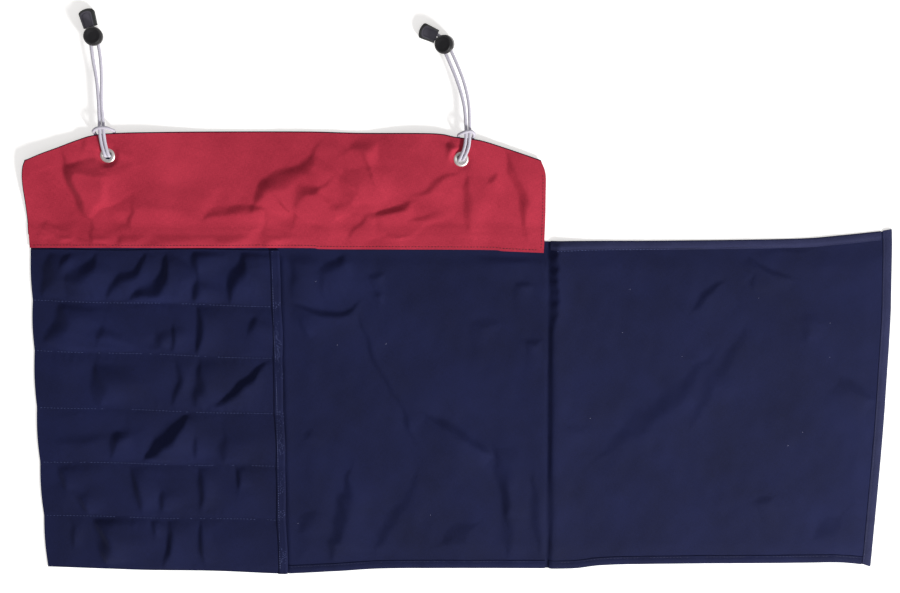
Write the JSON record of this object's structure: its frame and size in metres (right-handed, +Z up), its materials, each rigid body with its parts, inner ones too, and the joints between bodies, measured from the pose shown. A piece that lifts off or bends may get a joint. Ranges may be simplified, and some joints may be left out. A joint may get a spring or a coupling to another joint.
{
  "type": "shoe organizer",
  "caption": "Flat cloth organizer for shoe-care tools: long stitched pockets, a fold-over cover flap and a red band with eyelets, elastic cords and cord locks.",
  "frame": {"origin": "middle of the spread cloth, on the surface that it lies on", "axes": "+X along the cloth from the pockets' closed ends to the cover's free edge, +Y up the pockets' row to the red band, +Z up out of the cloth"},
  "size_m": [0.8312, 0.5492, 0.0187],
  "materials": {
    "navy_canvas": "plain-weave cotton canvas, matt",
    "navy_pocket": "plain-weave cotton canvas, matt, a little creased",
    "navy_hem": "doubled and stitched canvas",
    "red_canvas": "plain-weave cotton canvas, matt",
    "nickel": "nickel-plated brass, bright",
    "cord_grey": "braided elastic cord, pale grey",
    "black_plastic": "moulded, satin",
    "spring_steel": "drawn wire"
  },
  "bodies": {
    "mat": {"main_panel": "navy_canvas", "panel_bottom_hem": "navy_hem", "pocket_panel": "navy_pocket", "pocket_hem": "navy_pocket", "band_root_strip": "red_canvas"},
    "flap": {"cover_flap": "navy_canvas", "flap_side_hem": "navy_hem", "flap_top_hem": "navy_hem", "flap_bottom_hem": "navy_hem"},
    "band": {"band_front": "red_canvas", "band_backing": "navy_canvas", "eyelet_left": "nickel", "eyelet_washer_left": "nickel", "elastic_cord_left": "cord_grey", "cord_end_left": "black_plastic", "cord_end_cover_left": "black_plastic", "eyelet_right": "nickel", "eyelet_washer_right": "nickel", "elastic_cord_right": "cord_grey", "cord_end_right": "black_plastic", "cord_end_cover_right": "black_plastic"},
    "lock_left": {"lock_barrel_left": "black_plastic", "lock_spring_left": "spring_steel"},
    "plunger_left": {"lock_plunger_left": "black_plastic"},
    "lock_right": {"lock_barrel_right": "black_plastic", "lock_spring_right": "spring_steel"},
    "plunger_right": {"lock_plunger_right": "black_plastic"}
  },
  "joints": [
    {"name": "cover_fold", "type": "hinge", "parent": "mat", "child": "flap", "pos_m": [0.08565, 0, 0.00465], "axis": [0, -1, 0], "range_deg": [0, 180]},
    {"name": "band_fold", "type": "hinge", "parent": "mat", "child": "band", "pos_m": [-0.1665, 0.1255, 0.0057], "axis": [1, 0, 0], "range_deg": [0, 170]},
    {"name": "lock_slide_left", "type": "slide", "parent": "band", "child": "lock_left", "axis": [0.0499, -0.9988, 0], "range_m": [0, 0.055]},
    {"name": "plunger_press_left", "type": "slide", "parent": "lock_left", "child": "plunger_left", "axis": [-0.1562, -0.0078, -0.9877], "range_m": [0, 0.0016], "stiffness_N_per_m": 400, "springref_m": -0.003, "deforming": ["lock_spring_left"]},
    {"name": "lock_slide_right", "type": "slide", "parent": "band", "child": "lock_right", "axis": [0.4, -0.9165, 0], "range_m": [0, 0.038]},
    {"name": "plunger_press_right", "type": "slide", "parent": "lock_right", "child": "plunger_right", "axis": [0.1749, 0.0763, -0.9816], "range_m": [0, 0.0016], "stiffness_N_per_m": 400, "springref_m": -0.003, "deforming": ["lock_spring_right"]}
  ]
}
